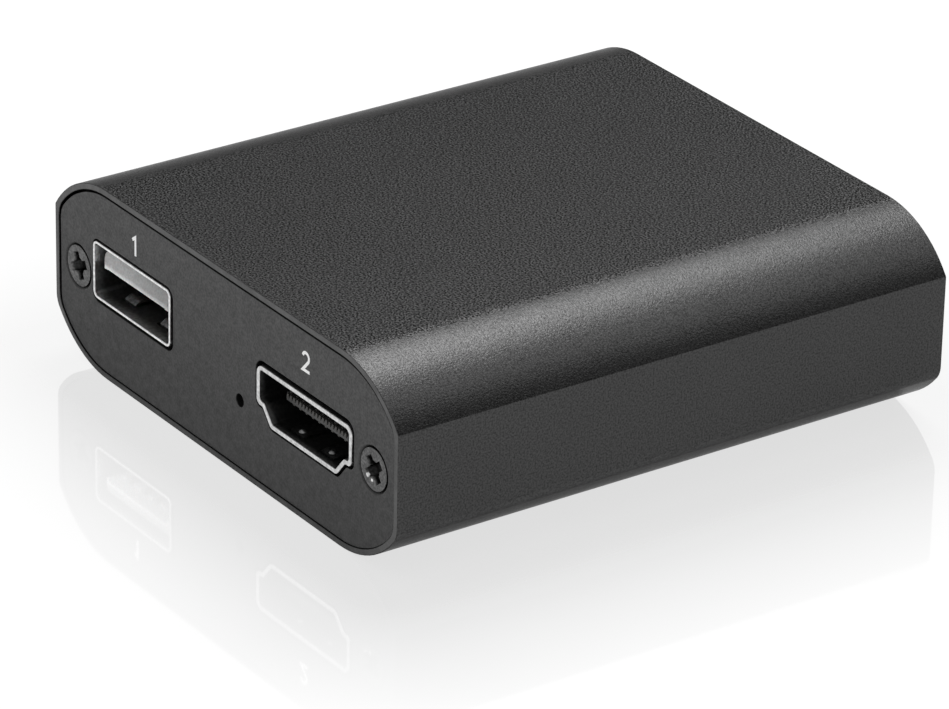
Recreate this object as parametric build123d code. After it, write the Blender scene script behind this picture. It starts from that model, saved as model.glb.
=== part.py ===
from build123d import *
import os
from math import atan2, sqrt, tan

os.makedirs("parts", exist_ok=True)

# A small video capture box: an extruded aluminium case with an inset plate at each end, and one
# circuit board that carries a USB socket, two video sockets and the electronics.
# Millimetres. +Z is up, the front plate faces -Y, and +X is to the right seen from the front.
# The origin is under the middle of the case, on the surface that it stands on.

# Case
body_width = 55.4
body_height = 18.7
body_length = 58.3
shoulder_width = 8.75     # across, from the flat top to the flat side
shoulder_drop = 4.58      # down, from the flat top to the crease
wall = 1.6
lip = 0.6                 # what is left of the wall round an inset plate
cut_overrun = 1.0         # how far a cut runs past the face that it opens

# End plates
plate_thickness = 1.5
plate_recess = 0.1        # the plate lies this much behind the end of the case
plate_gap = 0.14          # gap between plate and lip
plate_drop = 0.11         # the plate lies this much low in its seat
plate_shift = 0.04        # and this much towards +X
plate_corner_radius = 2.4
usb_clearance = 0.3       # round the USB socket in its plate
usb_opening_drop = 0.08   # that opening lies this much low on its socket
usb_opening_shift = 0.08  # and this much towards +X
video_clearance = 0.26    # round a video socket
video_headroom = 0.22     # more above a video socket
indicator_hole_diameter = 1.25
indicator_port_gap = 2.78 # from the hole's axis to the shell of the output socket
indicator_height = 0.82   # over the board

# Plate screws
screw_inset = 3.82        # screw axis to the side of the case
screw_thread_diameter = 2.2
screw_core_diameter = 1.7
screw_pitch = 0.8
screw_thread_count = 9
screw_head_diameter = 3.9
countersink_diameter = 4.5
screw_hole_clearance = 0.1
screw_channel_clearance = 0.02
screw_boss_diameter = 4.0
screw_head_sink = 0.03    # head below the plate's face
recess_span = 2.65        # across the cross recess
recess_slot = 0.85
recess_depth = 0.85
recess_core_diameter = 1.7
recess_turns = {(-1, -1): -22, (1, -1): -37, (-1, 1): 52, (1, 1): 8}

# Circuit board and the rails that hold it
board_underside = 4.7     # over the bottom of the case
board_thickness = 1.6
board_side_clearance = 0.1
board_face_clearance = 0.05
board_end_clearance = 0.3
rail_depth = 1.2          # how far the rails cover the board's edge
rail_backing = 2.3        # case wall behind the board's edge
rail_thickness = 0.9

# USB socket, type A
usb_screw_gap = 0.38      # from the screw's countersink to the shell
usb_standoff = 1.15       # shell over the board
usb_sheet = 0.25
usb_opening_width = 12.5
usb_opening_height = 5.12
usb_corner_radius = 0.45
usb_shell_length = 11.8
usb_block_front = 9.6     # depths are taken from the front of the shell
usb_block_clearance = 0.03
usb_heel_gap = 0.1
usb_heel_length = 1.7
usb_tongue_width = 11.1
usb_tongue_thickness = 1.72
usb_tongue_gap = 0.68     # above the tongue
usb_tongue_front = 0.45
usb_tongue_slope_height = 1.0 # the top of the tongue's front slopes back
usb_tongue_slope_depth = 0.45
usb_tongue_chamfer = 0.18 # under its front
usb_tongue_round = 0.5    # of its front corners and along its sides
usb_tongue_rib = 0.6      # at each side of the relief under its front
usb_tongue_relief = 0.25
usb_leg_width = 1.8
usb_leg_front_depth = 4.4
usb_leg_back_depth = 9.6

# USB contacts: a sprung finger and a fixed tail each
usb_contact_inner_place = 1.0  # each side of the middle
usb_contact_outer_place = 3.5
usb_contact_width = 0.9
usb_contact_thickness = 0.25
usb_contact_root_depth = 10.2
usb_contact_bump_depth = 3.4
usb_contact_tip_depth = 2.3
usb_contact_root_lift = 0.45   # over the underside of the tongue
usb_contact_drop = 0.4         # below the underside of the tongue
usb_contact_tip_lift = 0.15
usb_contact_bend_radius = 0.6
usb_groove_depth = 1.0
usb_groove_clearance = 0.15
usb_groove_front = 1.9
usb_tail_reach = 0.4           # behind the heel
spring_root_gap = 0.05         # cut at the root of a sprung strip
pin_stickout = 1.0             # pins and legs below the board
pin_hole_clearance = 0.12

# Sprung tabs in the USB shell
usb_spring_spread = 3.0        # each side of the middle
usb_spring_width = 1.8
usb_spring_root_depth = 7.2
usb_spring_bump_depth = 2.4
usb_spring_tip_depth = 1.75
usb_spring_rise = 0.45
spring_thickness = 0.25
spring_tip_rise = 0.05
spring_bend_radius = 0.5
spring_slot = 0.25

# Video sockets, 19 contacts each
output_screw_gap = 0.96   # from the screw's countersink to the shell
video_standoff = 0.235
video_sheet = 0.42
video_opening_width = 14.0
video_opening_height = 4.55
video_step_height = 1.55
video_step_width = 12.5        # where the slope meets the step
video_floor_width = 9.9
video_corner_radius = 0.5
video_step_radius = 0.4
video_shell_length = 10.0
video_block_front = 7.6
video_block_clearance = 0.03
video_heel_gap = 0.1
video_heel_length = 1.1
video_tongue_width = 9.9
video_tongue_thickness = 0.8
video_tongue_lift = 2.0        # over the floor of the opening
video_tongue_front = 1.4
video_tongue_chamfer = 0.2
video_leg_width = 1.5
video_leg_front_depth = 3.0
video_leg_back_depth = 8.6
video_contact_pitch = 0.5
video_contact_count = 19
video_contact_width = 0.28
video_contact_thickness = 0.15
video_contact_front_gap = 0.25
video_contact_foot = 0.8
video_contact_drop_gap = 0.1

# Sprung tabs in a video shell
video_spring_spread = 2.35
video_spring_width = 2.0
video_spring_root_depth = 6.2
video_spring_bump_depth = 1.6
video_spring_tip_depth = 0.95
video_spring_rise = 0.14
video_dimple_radius = 0.5
video_dimple_rise = 0.2

# Packages on the board
board_margin = 0.4             # kept free beside the rails
chip_edge = 0.12
chip_mark_diameter = 0.8
chip_mark_depth = 0.1
chip_mark_inset = 1.4
capture_chip_size = 12.0
capture_chip_height = 0.9
splitter_chip_size = 10.0
splitter_chip_height = 1.2
splitter_leads_per_side = 12
splitter_lead_pitch = 0.65
memory_chip_length = 13.3
memory_chip_width = 7.5
memory_chip_height = 1.0
memory_rail_gap = 1.6
flash_chip_length = 5.0
flash_chip_width = 4.0
flash_chip_height = 1.5
flash_leads_per_side = 4
flash_lead_pitch = 1.27
lead_width = 0.28
lead_thickness = 0.15
lead_reach = 1.0
lead_foot = 0.5
lead_knee = 0.35
regulator_length = 2.9
regulator_width = 1.6
regulator_height = 1.1
regulator_leads_per_side = 3
regulator_lead_pitch = 0.95
inductor_size = 4.0
inductor_height = 1.9
inductor_corner = 0.6
inductor_core_diameter = 2.8
inductor_core_sink = 0.2
crystal_length = 3.2
crystal_width = 2.5
crystal_height = 0.8
crystal_corner_radius = 0.4
bulk_length = 3.5
bulk_width = 2.8
bulk_height = 1.9
bulk_terminal = 0.3
surge_length = 2.5
surge_width = 1.0
surge_height = 0.55
surge_gap = 0.8                # behind the feet of a video socket's contacts
passive_length = 1.0
passive_width = 0.5
passive_height = 0.5
passive_terminal = 0.25
passive_pitch = 1.7
passive_ring_gap = 1.2
capacitors_per_side = 5
resistors_per_side = 4
under_columns = 4
under_rows = 3
led_length = 2.0
led_width = 1.1
led_lens_radius = 0.5
led_edge_gap = 0.3
solder_radius = 1.2
solder_tip_radius = 0.7
solder_height = 0.6

# Worked out from the sizes above
half_width = body_width / 2
front = -body_length / 2
rear = body_length / 2
shoulder_radius = (shoulder_width**2 + shoulder_drop**2) / (2 * shoulder_drop)
recess = plate_thickness + plate_recess
screw_x = half_width - screw_inset
screw_z = body_height / 2
board_top = board_underside + board_thickness
board_half_width = half_width - rail_backing - board_side_clearance
board_length = body_length - 2 * (recess + board_end_clearance)
port_limit = screw_x - countersink_diameter / 2
usb_shell_width = usb_opening_width + 2 * usb_sheet
usb_offset = usb_screw_gap + usb_shell_width / 2 - port_limit
usb_leg_depths = (usb_leg_front_depth, usb_leg_back_depth)
usb_contact_places = (-usb_contact_outer_place, -usb_contact_inner_place,
                      usb_contact_inner_place, usb_contact_outer_place)
usb_shell_height = usb_opening_height + 2 * usb_sheet
usb_floor = board_top + usb_standoff + usb_sheet
usb_ceiling = usb_floor + usb_opening_height
usb_middle = (usb_floor + usb_ceiling) / 2
usb_tongue_top = usb_ceiling - usb_tongue_gap
usb_tongue_under = usb_tongue_top - usb_tongue_thickness
usb_heel_front = usb_shell_length + usb_heel_gap
usb_heel_back = usb_heel_front + usb_heel_length
usb_back = front + usb_heel_back + usb_tail_reach + usb_contact_thickness
video_shell_width = video_opening_width + 2 * video_sheet
output_offset = port_limit - output_screw_gap - video_shell_width / 2
video_leg_depths = (video_leg_front_depth, video_leg_back_depth)
video_floor = board_top + video_standoff + video_sheet
video_ceiling = video_floor + video_opening_height
video_tongue_under = video_floor + video_tongue_lift
video_tongue_top = video_tongue_under + video_tongue_thickness
video_heel_front = video_shell_length + video_heel_gap
video_heel_back = video_heel_front + video_heel_length
video_reach = (video_heel_back + video_contact_drop_gap + video_contact_thickness
               + video_contact_foot)
indicator_offset = output_offset - video_shell_width / 2 - indicator_port_gap
indicator_z = board_top + indicator_height


# Places of the packages, between the sockets, the rails and the board's edges

def spread(low, high, sizes):
    """The middles of pieces of these sizes, laid out from low to high with equal gaps."""
    gap = (high - low - sum(sizes)) / (len(sizes) + 1)
    middles = []
    edge = low + gap
    for size in sizes:
        middles.append(edge + size / 2)
        edge += size + gap
    return middles


board_front = -board_length / 2
board_rear = board_length / 2
board_side = board_half_width - rail_depth - board_margin
ring_width = 2 * passive_ring_gap + passive_width
capture_span = capture_chip_size + ring_width
splitter_span = splitter_chip_size + 2 * lead_reach + ring_width
regulator_span = regulator_width + 2 * lead_reach
lamp_back = board_front + led_edge_gap + led_lens_radius + led_width
input_side = video_shell_width / 2 + solder_radius

flash_x, capture_x, splitter_x = spread(
    -board_side, board_side, [flash_chip_length, capture_span, splitter_span])
memory_x = -board_side + memory_rail_gap + memory_chip_length / 2
capture_y, memory_y, regulator_y, inductor_y = spread(
    usb_back, board_rear, [capture_span, memory_chip_width, regulator_span, inductor_size])
surge_y, crystal_y, splitter_y = spread(
    front + video_reach, regulator_y - regulator_span / 2,
    [surge_width, crystal_width, splitter_span])
power_x = spread(-board_side, -input_side, [inductor_size, inductor_size])
power_x += spread(input_side, board_side, [inductor_size, bulk_length])
middle_x = (usb_offset + usb_shell_width / 2 + output_offset - video_shell_width / 2) / 2
middle_y = spread(lamp_back, usb_back, [bulk_width, bulk_width, crystal_width])

capture_place = (capture_x, capture_y)
splitter_place = (splitter_x, splitter_y)
memory_place = (memory_x, memory_y)
flash_place = (flash_x, capture_y)
regulator_places = [(x, regulator_y) for x in power_x[:-1]]
inductor_places = [(x, inductor_y) for x in power_x[:-1]]
crystal_places = [(middle_x, middle_y[2]), (splitter_x, crystal_y)]
bulk_places = [(middle_x, middle_y[0]), (middle_x, middle_y[1]), (power_x[-1], inductor_y)]
surge_places = [(x, surge_y) for x in spread(output_offset - video_shell_width / 2,
                                             output_offset + video_shell_width / 2,
                                             [surge_length, surge_length])]
surge_places += [(x, rear - video_reach - surge_gap) for x in spread(
    -video_shell_width / 2, video_shell_width / 2, [surge_length, surge_length])]


# Helpers

def block(x0, x1, y0, y1, z0, z1):
    """A box between two corners."""
    return Pos((x0 + x1) / 2, (y0 + y1) / 2, (z0 + z1) / 2) * Box(x1 - x0, y1 - y0, z1 - z0)


def along_y(face, start, length):
    """A face drawn in X and Z, extruded towards +Y from start."""
    plane = Plane(origin=(0, start + length, 0), x_dir=(1, 0, 0), z_dir=(0, -1, 0))
    return extrude(plane * face, length)


def along_x(face, start, length):
    """A face drawn in Y and Z, extruded towards +X from start."""
    plane = Plane(origin=(start, 0, 0), x_dir=(0, 1, 0), z_dir=(1, 0, 0))
    return extrude(plane * face, length)


def polygon(points):
    return make_face(Polyline(*points, close=True))


def solids_of(pieces):
    """Many loose solids as one group."""
    return Compound(children=[solid for piece in pieces for solid in piece.solids()])


def write(name, shape):
    export_step(shape, "parts/" + name + ".step")


# Case

def outline(inset):
    """The case's cross-section, drawn inwards by inset: flat top, bottom and sides, and four
    shoulders that leave the flats smoothly and meet the sides at a crease."""
    side = half_width - inset
    top = body_height - inset
    flat = half_width - shoulder_width
    radius = shoulder_radius - inset
    rise = sqrt(radius**2 - (side - flat)**2)
    high = body_height - shoulder_radius + rise
    low = shoulder_radius - rise
    edges = [
        Line((-flat, top), (flat, top)),
        TangentArc((flat, top), (side, high), tangent=(1, 0)),
        Line((side, high), (side, low)),
        TangentArc((flat, inset), (side, low), tangent=(1, 0)),
        Line((flat, inset), (-flat, inset)),
        TangentArc((-flat, inset), (-side, low), tangent=(-1, 0)),
        Line((-side, low), (-side, high)),
        TangentArc((-flat, top), (-side, high), tangent=(-1, 0)),
    ]
    return make_face(edges)


def plate_outline(inset):
    """The same section with its four creases rounded, for the plates and their recesses."""
    face = outline(inset)
    corners = face.vertices().sort_by(Axis.X)
    return fillet(corners[:2] + corners[-2:], plate_corner_radius)


def case_sleeve():
    section = outline(0) - outline(wall)
    rail_low = board_underside - board_face_clearance
    rail_high = board_top + board_face_clearance
    groove_side = half_width - rail_backing
    inner = groove_side - rail_depth - board_side_clearance
    channel = screw_thread_diameter / 2 + screw_channel_clearance
    boss = screw_boss_diameter / 2
    inside = outline(wall / 2)
    for side in (-1, 1):
        rails = Pos(side * (inner + half_width) / 2, (rail_low - rail_thickness + screw_z) / 2)
        rails = rails * Rectangle(half_width - inner, screw_z - rail_low + rail_thickness)
        web = Pos(side * (screw_x + half_width) / 2, screw_z) * Rectangle(screw_inset, 2 * boss)
        ring = Pos(side * screw_x, screw_z) * Circle(boss)
        section += (rails + web + ring) & inside
    section -= Pos(0, (rail_low + rail_high) / 2) * Rectangle(2 * groove_side, rail_high - rail_low)
    for side in (-1, 1):
        section -= Pos(side * screw_x, screw_z) * Circle(channel)
    sleeve = along_y(section, front, body_length)
    seat = plate_outline(lip)
    sleeve -= along_y(seat, front - cut_overrun, recess + cut_overrun)
    sleeve -= along_y(seat, rear - recess, recess + cut_overrun)
    return sleeve


# End plates and their screws

def countersink(side, end):
    """What a screw's head and shank take out of a plate."""
    face_y = end * (body_length / 2 - plate_recess)
    hole = screw_thread_diameter / 2 + screw_hole_clearance
    wide = countersink_diameter / 2
    profile = [(0, 0), (wide, 0), (hole, wide - hole), (hole, recess + cut_overrun),
               (0, recess + cut_overrun)]
    cutter = revolve(Plane.XZ * polygon(profile), Axis.Z)
    return Pos(side * screw_x, face_y, screw_z) * Rot(90 * end, 0, 0) * cutter


def end_plate(end, openings):
    face = Pos(plate_shift, -plate_drop) * plate_outline(lip + plate_gap)
    for opening in openings:
        face -= opening
    start = front + plate_recess if end < 0 else rear - recess
    plate = along_y(face, start, plate_thickness)
    for side in (-1, 1):
        plate -= countersink(side, end)
    return plate


def usb_opening():
    outset = usb_sheet + usb_clearance
    size = (usb_opening_width + 2 * outset, usb_opening_height + 2 * outset)
    place = Pos(usb_offset + usb_opening_shift, usb_middle - usb_opening_drop)
    return place * RectangleRounded(*size, usb_corner_radius + outset)


def video_opening(offset):
    hole = Pos(offset, 0) * video_outline(video_sheet + video_clearance)
    return hole + Pos(0, video_headroom) * hole


def front_plate():
    indicator = Pos(indicator_offset, indicator_z) * Circle(indicator_hole_diameter / 2)
    return end_plate(-1, [usb_opening(), video_opening(output_offset), indicator])


def rear_plate():
    return end_plate(1, [video_opening(0)])


def cross_recess():
    """Two crossed slots that narrow downwards, and a cone where they meet."""
    half = recess_span / 2
    core = recess_core_diameter / 2
    side = polygon([(-half, 0), (half, 0), (core, recess_depth), (-core, recess_depth)])
    slot = along_x(side, -recess_slot / 2, recess_slot)
    cone = Cone(core, core / 2, recess_depth, align=(Align.CENTER, Align.CENTER, Align.MIN))
    return slot + Rot(0, 0, 90) * slot + cone


def plate_screw(turn):
    """A countersunk thread-forming screw, point towards +Z, its head's face at zero."""
    head = screw_head_diameter / 2
    land = (countersink_diameter - screw_head_diameter) / 2 - screw_head_sink
    crest = screw_thread_diameter / 2
    core = screw_core_diameter / 2
    neck = land + head - crest
    points = [(0, 0), (head, 0), (head, land), (crest, neck)]
    for number in range(screw_thread_count):
        base = neck + number * screw_pitch
        points += [(core, base + screw_pitch / 2), (crest, base + screw_pitch)]
    end = neck + screw_thread_count * screw_pitch
    points += [(0, end + crest)]
    screw = revolve(Plane.XZ * polygon(points), Axis.Z)
    return screw - Rot(0, 0, turn) * cross_recess()


def plate_screws(end):
    face_y = end * (body_length / 2 - plate_recess - screw_head_sink)
    screws = []
    for side in (-1, 1):
        turned = Rot(90 * end, 0, 0) * plate_screw(recess_turns[(side, end)])
        screws.append(Pos(side * screw_x, face_y, screw_z) * turned)
    return solids_of(screws)


# Sprung strips

def strip(root, bump, tip, root_z, bump_z, tip_z, thickness, radius):
    """The side of a bent strip, drawn as depth and height, with its bump turned down."""
    points = [(root, root_z), (bump, bump_z), (tip, tip_z),
              (tip, tip_z + thickness), (bump, bump_z + thickness), (root, root_z + thickness)]
    radii = [0, radius + thickness, 0, 0, radius, 0]
    return make_face(FilletPolyline(*points, radius=radii, close=True))


def shell_spring(root, bump, tip, rise, width):
    """A tab of a shell's floor, its inner face at zero and its bump upwards, depth along +Y."""
    drawn = strip(root - spring_root_gap, bump, tip, 0, -rise, -spring_tip_rise, spring_thickness,
                  spring_bend_radius)
    return Rot(0, 180, 0) * along_x(drawn, -width / 2, width)


# USB socket

def usb_place(shape):
    """From the socket's own frame, with depths along +Y, to its place in the front plate."""
    return Pos(usb_offset, front, 0) * shape


def usb_window(side, level):
    """The hole in the shell round one sprung tab; level is the sheet's inner face."""
    half = usb_spring_width / 2 + spring_slot
    place = side * usb_spring_spread
    return block(place - half, place + half, usb_spring_tip_depth - spring_slot,
                 usb_spring_root_depth, level - cut_overrun, level + cut_overrun)


def usb_legs(extra):
    """The shell's four legs, or with extra the holes for them."""
    outer = usb_shell_width / 2
    legs = []
    for side in (-1, 1):
        for depth in usb_leg_depths:
            x0 = side * (outer - usb_sheet / 2)
            low = board_underside - pin_stickout
            legs.append(block(x0 - usb_sheet / 2 - extra, x0 + usb_sheet / 2 + extra,
                              depth - usb_leg_width / 2 - extra, depth + usb_leg_width / 2 + extra,
                              low - extra, usb_middle))
    return legs


def usb_shell():
    inner = RectangleRounded(usb_opening_width, usb_opening_height, usb_corner_radius)
    outer = RectangleRounded(usb_shell_width, usb_shell_height, usb_corner_radius + usb_sheet)
    shell = along_y(Pos(0, usb_middle) * (outer - inner), 0, usb_shell_length)
    for leg in usb_legs(0):
        shell += leg
    for side in (-1, 1):
        for level in (usb_floor, usb_ceiling):
            shell -= usb_window(side, level)
    return usb_place(shell)


def usb_springs(side, top):
    spring = shell_spring(usb_spring_root_depth, usb_spring_bump_depth, usb_spring_tip_depth,
                          usb_spring_rise, usb_spring_width)
    if top:
        spring = Pos(0, 0, usb_ceiling) * mirror(spring, Plane.XY)
    else:
        spring = Pos(0, 0, usb_floor) * spring
    return usb_place(Pos(side * usb_spring_spread, 0, 0) * spring)


def usb_contact(place):
    """One sprung finger under the tongue."""
    side = strip(usb_contact_root_depth, usb_contact_bump_depth, usb_contact_tip_depth,
                 usb_tongue_under + usb_contact_root_lift, usb_tongue_under - usb_contact_drop,
                 usb_tongue_under + usb_contact_tip_lift, usb_contact_thickness,
                 usb_contact_bend_radius)
    return usb_place(along_x(side, place - usb_contact_width / 2, usb_contact_width))


def usb_contact_tails():
    low = usb_tongue_under + usb_contact_root_lift
    start = usb_contact_root_depth + spring_root_gap
    back = usb_heel_back + usb_tail_reach
    bottom = board_underside - pin_stickout
    side = polygon([(start, low), (back, low), (back, bottom),
                    (back + usb_contact_thickness, bottom),
                    (back + usb_contact_thickness, low + usb_contact_thickness),
                    (start, low + usb_contact_thickness)])
    tails = [along_x(side, place - usb_contact_width / 2, usb_contact_width)
             for place in usb_contact_places]
    return usb_place(solids_of(tails))


def usb_tongue():
    """The tongue: its front sloped back above and relieved below, its sides rounded."""
    half = usb_tongue_width / 2
    brow = usb_tongue_top - usb_tongue_slope_height
    side = polygon([(usb_tongue_front + usb_tongue_chamfer, usb_tongue_under),
                    (usb_block_front, usb_tongue_under), (usb_block_front, usb_tongue_top),
                    (usb_tongue_front + usb_tongue_slope_depth, usb_tongue_top),
                    (usb_tongue_front, brow),
                    (usb_tongue_front, usb_tongue_under + usb_tongue_chamfer)])
    length = 2 * usb_block_front
    plan = Pos(0, usb_tongue_front + length / 2) * RectangleRounded(
        2 * half, length, usb_tongue_round)
    section = Pos(0, (usb_tongue_under + usb_tongue_top) / 2) * RectangleRounded(
        2 * half, usb_tongue_thickness, usb_tongue_round)
    tongue = along_x(side, -half, 2 * half) & extrude(plan, body_height)
    tongue &= along_y(section, 0, usb_block_front)
    relief = half - usb_tongue_rib
    return tongue - block(-relief, relief, 0, usb_groove_front,
                          0, usb_tongue_under + usb_tongue_relief)


def usb_insulator():
    tongue = usb_tongue()
    inside = usb_opening_width / 2 - usb_block_clearance
    section = RectangleRounded(2 * inside, usb_opening_height - 2 * usb_block_clearance,
                               usb_corner_radius)
    core = along_y(Pos(0, usb_middle) * section, usb_block_front,
                   usb_heel_front - usb_block_front)
    heel = block(-inside, inside, usb_heel_front, usb_heel_back, board_top, usb_ceiling)
    body = tongue + core + heel
    for place in usb_contact_places:
        reach = usb_contact_width / 2 + usb_groove_clearance
        body -= block(place - reach, place + reach, usb_groove_front,
                      usb_contact_root_depth + spring_root_gap,
                      usb_tongue_under - usb_contact_drop, usb_tongue_under + usb_groove_depth)
    return usb_place(body) - usb_contact_tails()


# Video sockets

def video_outline(outset):
    """The mouth of a video socket, drawn outwards by outset: wide above, stepped in below."""
    slope = atan2(video_step_height, (video_step_width - video_floor_width) / 2)
    shift = outset * tan(slope / 2)
    low = video_floor_width / 2 + shift
    step = video_step_width / 2 + shift
    top = video_opening_width / 2 + outset
    floor = video_floor - outset
    ledge = floor + video_step_height
    ceiling = video_ceiling + outset
    points = [(-low, floor), (low, floor), (step, ledge), (top, ledge),
              (top, ceiling), (-top, ceiling), (-top, ledge), (-step, ledge)]
    wide = video_corner_radius + outset
    small = video_step_radius + outset / 2
    inner = video_step_radius
    radii = [small, small, inner, small, wide, wide, small, inner]
    return make_face(FilletPolyline(*points, radius=radii, close=True))


def video_place(shape, end, place):
    """From the socket's own frame, with depths along +Y, to its place in either plate."""
    if end < 0:
        return Pos(place, front, 0) * shape
    return Pos(place, rear, 0) * Rot(0, 0, 180) * shape


def video_window(side, level):
    half = video_spring_width / 2 + spring_slot
    place = side * video_spring_spread
    return block(place - half, place + half, video_spring_tip_depth - spring_slot,
                 video_spring_root_depth, level - cut_overrun, level + cut_overrun)


def video_legs(extra):
    """The shell's four legs, or with extra the holes for them."""
    middle = video_opening_width / 2 + video_sheet / 2
    legs = []
    for side in (-1, 1):
        for depth in video_leg_depths:
            x0 = side * middle
            low = board_underside - pin_stickout
            legs.append(block(x0 - video_sheet / 2 - extra, x0 + video_sheet / 2 + extra,
                              depth - video_leg_width / 2 - extra,
                              depth + video_leg_width / 2 + extra,
                              low - extra, video_floor + video_step_height + video_corner_radius))
    return legs


def video_shell(end, place):
    ring = video_outline(video_sheet) - video_outline(0)
    shell = along_y(ring, 0, video_shell_length)
    for leg in video_legs(0):
        shell += leg
    for side in (-1, 1):
        for level in (video_floor, video_ceiling):
            shell -= video_window(side, level)
    return video_place(shell, end, place)


def video_spring(end, place, side, top):
    spring = shell_spring(video_spring_root_depth, video_spring_bump_depth, video_spring_tip_depth,
                          video_spring_rise, video_spring_width)
    ball = Pos(0, video_spring_bump_depth, video_spring_rise + video_dimple_rise
               - video_dimple_radius) * Sphere(video_dimple_radius)
    half = video_dimple_radius
    cap = ball & block(-half, half, video_spring_bump_depth - half, video_spring_bump_depth + half,
                       0, 2 * half)
    spring += cap
    if top:
        spring = Pos(0, 0, video_ceiling) * mirror(spring, Plane.XY)
    else:
        spring = Pos(0, 0, video_floor) * spring
    return video_place(Pos(side * video_spring_spread, 0, 0) * spring, end, place)


def video_contacts(end, place):
    """Nineteen flat contacts, on top of and under the tongue by turns, each with a tail that
    comes down behind the heel to a foot on the board."""
    contacts = []
    first = -(video_contact_count - 1) / 2 * video_contact_pitch
    tip = video_tongue_front + video_contact_front_gap
    back = video_heel_back + video_contact_drop_gap
    thick = video_contact_thickness
    for number in range(video_contact_count):
        x = first + number * video_contact_pitch
        low = video_tongue_top if number % 2 == 0 else video_tongue_under - thick
        side = polygon([(tip, low), (back, low), (back, board_top),
                        (back + thick + video_contact_foot, board_top),
                        (back + thick + video_contact_foot, board_top + thick),
                        (back + thick, board_top + thick),
                        (back + thick, low + thick), (tip, low + thick)])
        contacts.append(along_x(side, x - video_contact_width / 2, video_contact_width))
    return video_place(solids_of(contacts), end, place)


def video_insulator(end, place):
    half = video_tongue_width / 2
    tongue = block(-half, half, video_tongue_front, video_block_front,
                   video_tongue_under, video_tongue_top)
    tongue = chamfer(tongue.faces().sort_by(Axis.Y)[0].edges(), video_tongue_chamfer)
    core = along_y(video_outline(-video_block_clearance), video_block_front,
                   video_heel_front - video_block_front)
    side = video_opening_width / 2 - video_block_clearance
    heel = block(-side, side, video_heel_front, video_heel_back, board_top, video_ceiling)
    body = video_place(tongue + core + heel, end, place)
    return body - video_contacts(end, place)


# Circuit board

def main_board():
    board = block(-board_half_width, board_half_width, board_front, board_rear,
                  board_underside, board_top)
    holes = [usb_place(leg) for leg in usb_legs(pin_hole_clearance)]
    holes += [video_place(leg, -1, output_offset) for leg in video_legs(pin_hole_clearance)]
    holes += [video_place(leg, 1, 0) for leg in video_legs(pin_hole_clearance)]
    back = usb_heel_back + usb_tail_reach + usb_contact_thickness / 2
    for place in usb_contact_places:
        radius = usb_contact_width / 2 + pin_hole_clearance
        pin = Pos(place, back, board_underside + board_thickness / 2) * Cylinder(
            radius, board_thickness + cut_overrun)
        holes.append(usb_place(pin))
    for hole in holes:
        board -= hole
    return board


def solder_joints():
    """The cones of solder on the underside, round each leg and pin that comes through."""
    joints = []
    cone = Cone(solder_tip_radius, solder_radius, solder_height,
                align=(Align.CENTER, Align.CENTER, Align.MAX))
    legs = [usb_place(leg) for leg in usb_legs(0)]
    legs += [video_place(leg, -1, output_offset) for leg in video_legs(0)]
    legs += [video_place(leg, 1, 0) for leg in video_legs(0)]
    for leg in legs:
        middle = leg.center()
        joints.append(Pos(middle.X, middle.Y, board_underside) * cone - leg)
    tails = usb_contact_tails()
    back = front + usb_heel_back + usb_tail_reach + usb_contact_thickness / 2
    for place in usb_contact_places:
        joints.append(Pos(usb_offset + place, back, board_underside) * cone - tails)
    return solids_of(joints)


# Packages on the board

def on_board(place):
    return Pos(place[0], place[1], board_top)


def package(length, width, height):
    """A moulded chip body standing on zero, with small edges and a pin mark."""
    body = Pos(0, 0, height / 2) * Box(length, width, height)
    body = chamfer(body.faces().sort_by(Axis.Z)[-1].edges(), chip_edge)
    inset = chip_mark_inset
    mark = Pos(-length / 2 + inset, -width / 2 + inset, height) * Cylinder(
        chip_mark_diameter / 2, 2 * chip_mark_depth)
    return body - mark


def leads(count, pitch, body_half, height):
    """A row of bent leads on the +Y side of a package."""
    knee = height / 2
    thick = lead_thickness
    side = polygon([(body_half, knee), (body_half + lead_knee, knee),
                    (body_half + lead_reach - lead_foot, 0), (body_half + lead_reach, 0),
                    (body_half + lead_reach, thick),
                    (body_half + lead_reach - lead_foot + thick / 2, thick),
                    (body_half + lead_knee + thick / 2, knee + thick),
                    (body_half, knee + thick)])
    row = []
    for number in range(count):
        x = (number - (count - 1) / 2) * pitch
        row.append(along_x(side, x - lead_width / 2, lead_width))
    return row


def capture_chip():
    return on_board(capture_place) * package(
        capture_chip_size, capture_chip_size, capture_chip_height)


def splitter_chip():
    return on_board(splitter_place) * package(
        splitter_chip_size, splitter_chip_size, splitter_chip_height)


def splitter_chip_leads():
    pins = []
    for quarter in range(4):
        row = leads(splitter_leads_per_side, splitter_lead_pitch, splitter_chip_size / 2,
                    splitter_chip_height)
        pins += [on_board(splitter_place) * Rot(0, 0, 90 * quarter) * pin
                 for pin in row]
    return solids_of(pins)


def memory_chip():
    return on_board(memory_place) * package(
        memory_chip_length, memory_chip_width, memory_chip_height)


def flash_chip():
    return on_board(flash_place) * package(
        flash_chip_length, flash_chip_width, flash_chip_height)


def flash_chip_leads():
    pins = []
    for half in range(2):
        row = leads(flash_leads_per_side, flash_lead_pitch, flash_chip_width / 2,
                    flash_chip_height)
        pins += [on_board(flash_place) * Rot(0, 0, 180 * half) * pin for pin in row]
    return solids_of(pins)


def regulators():
    bodies = []
    for place in regulator_places:
        body = Pos(0, 0, regulator_height / 2) * Box(regulator_length, regulator_width,
                                                     regulator_height)
        top = body.faces().sort_by(Axis.Z)[-1]
        bodies.append(on_board(place) * chamfer(top.edges(), chip_edge))
    return solids_of(bodies)


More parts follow.
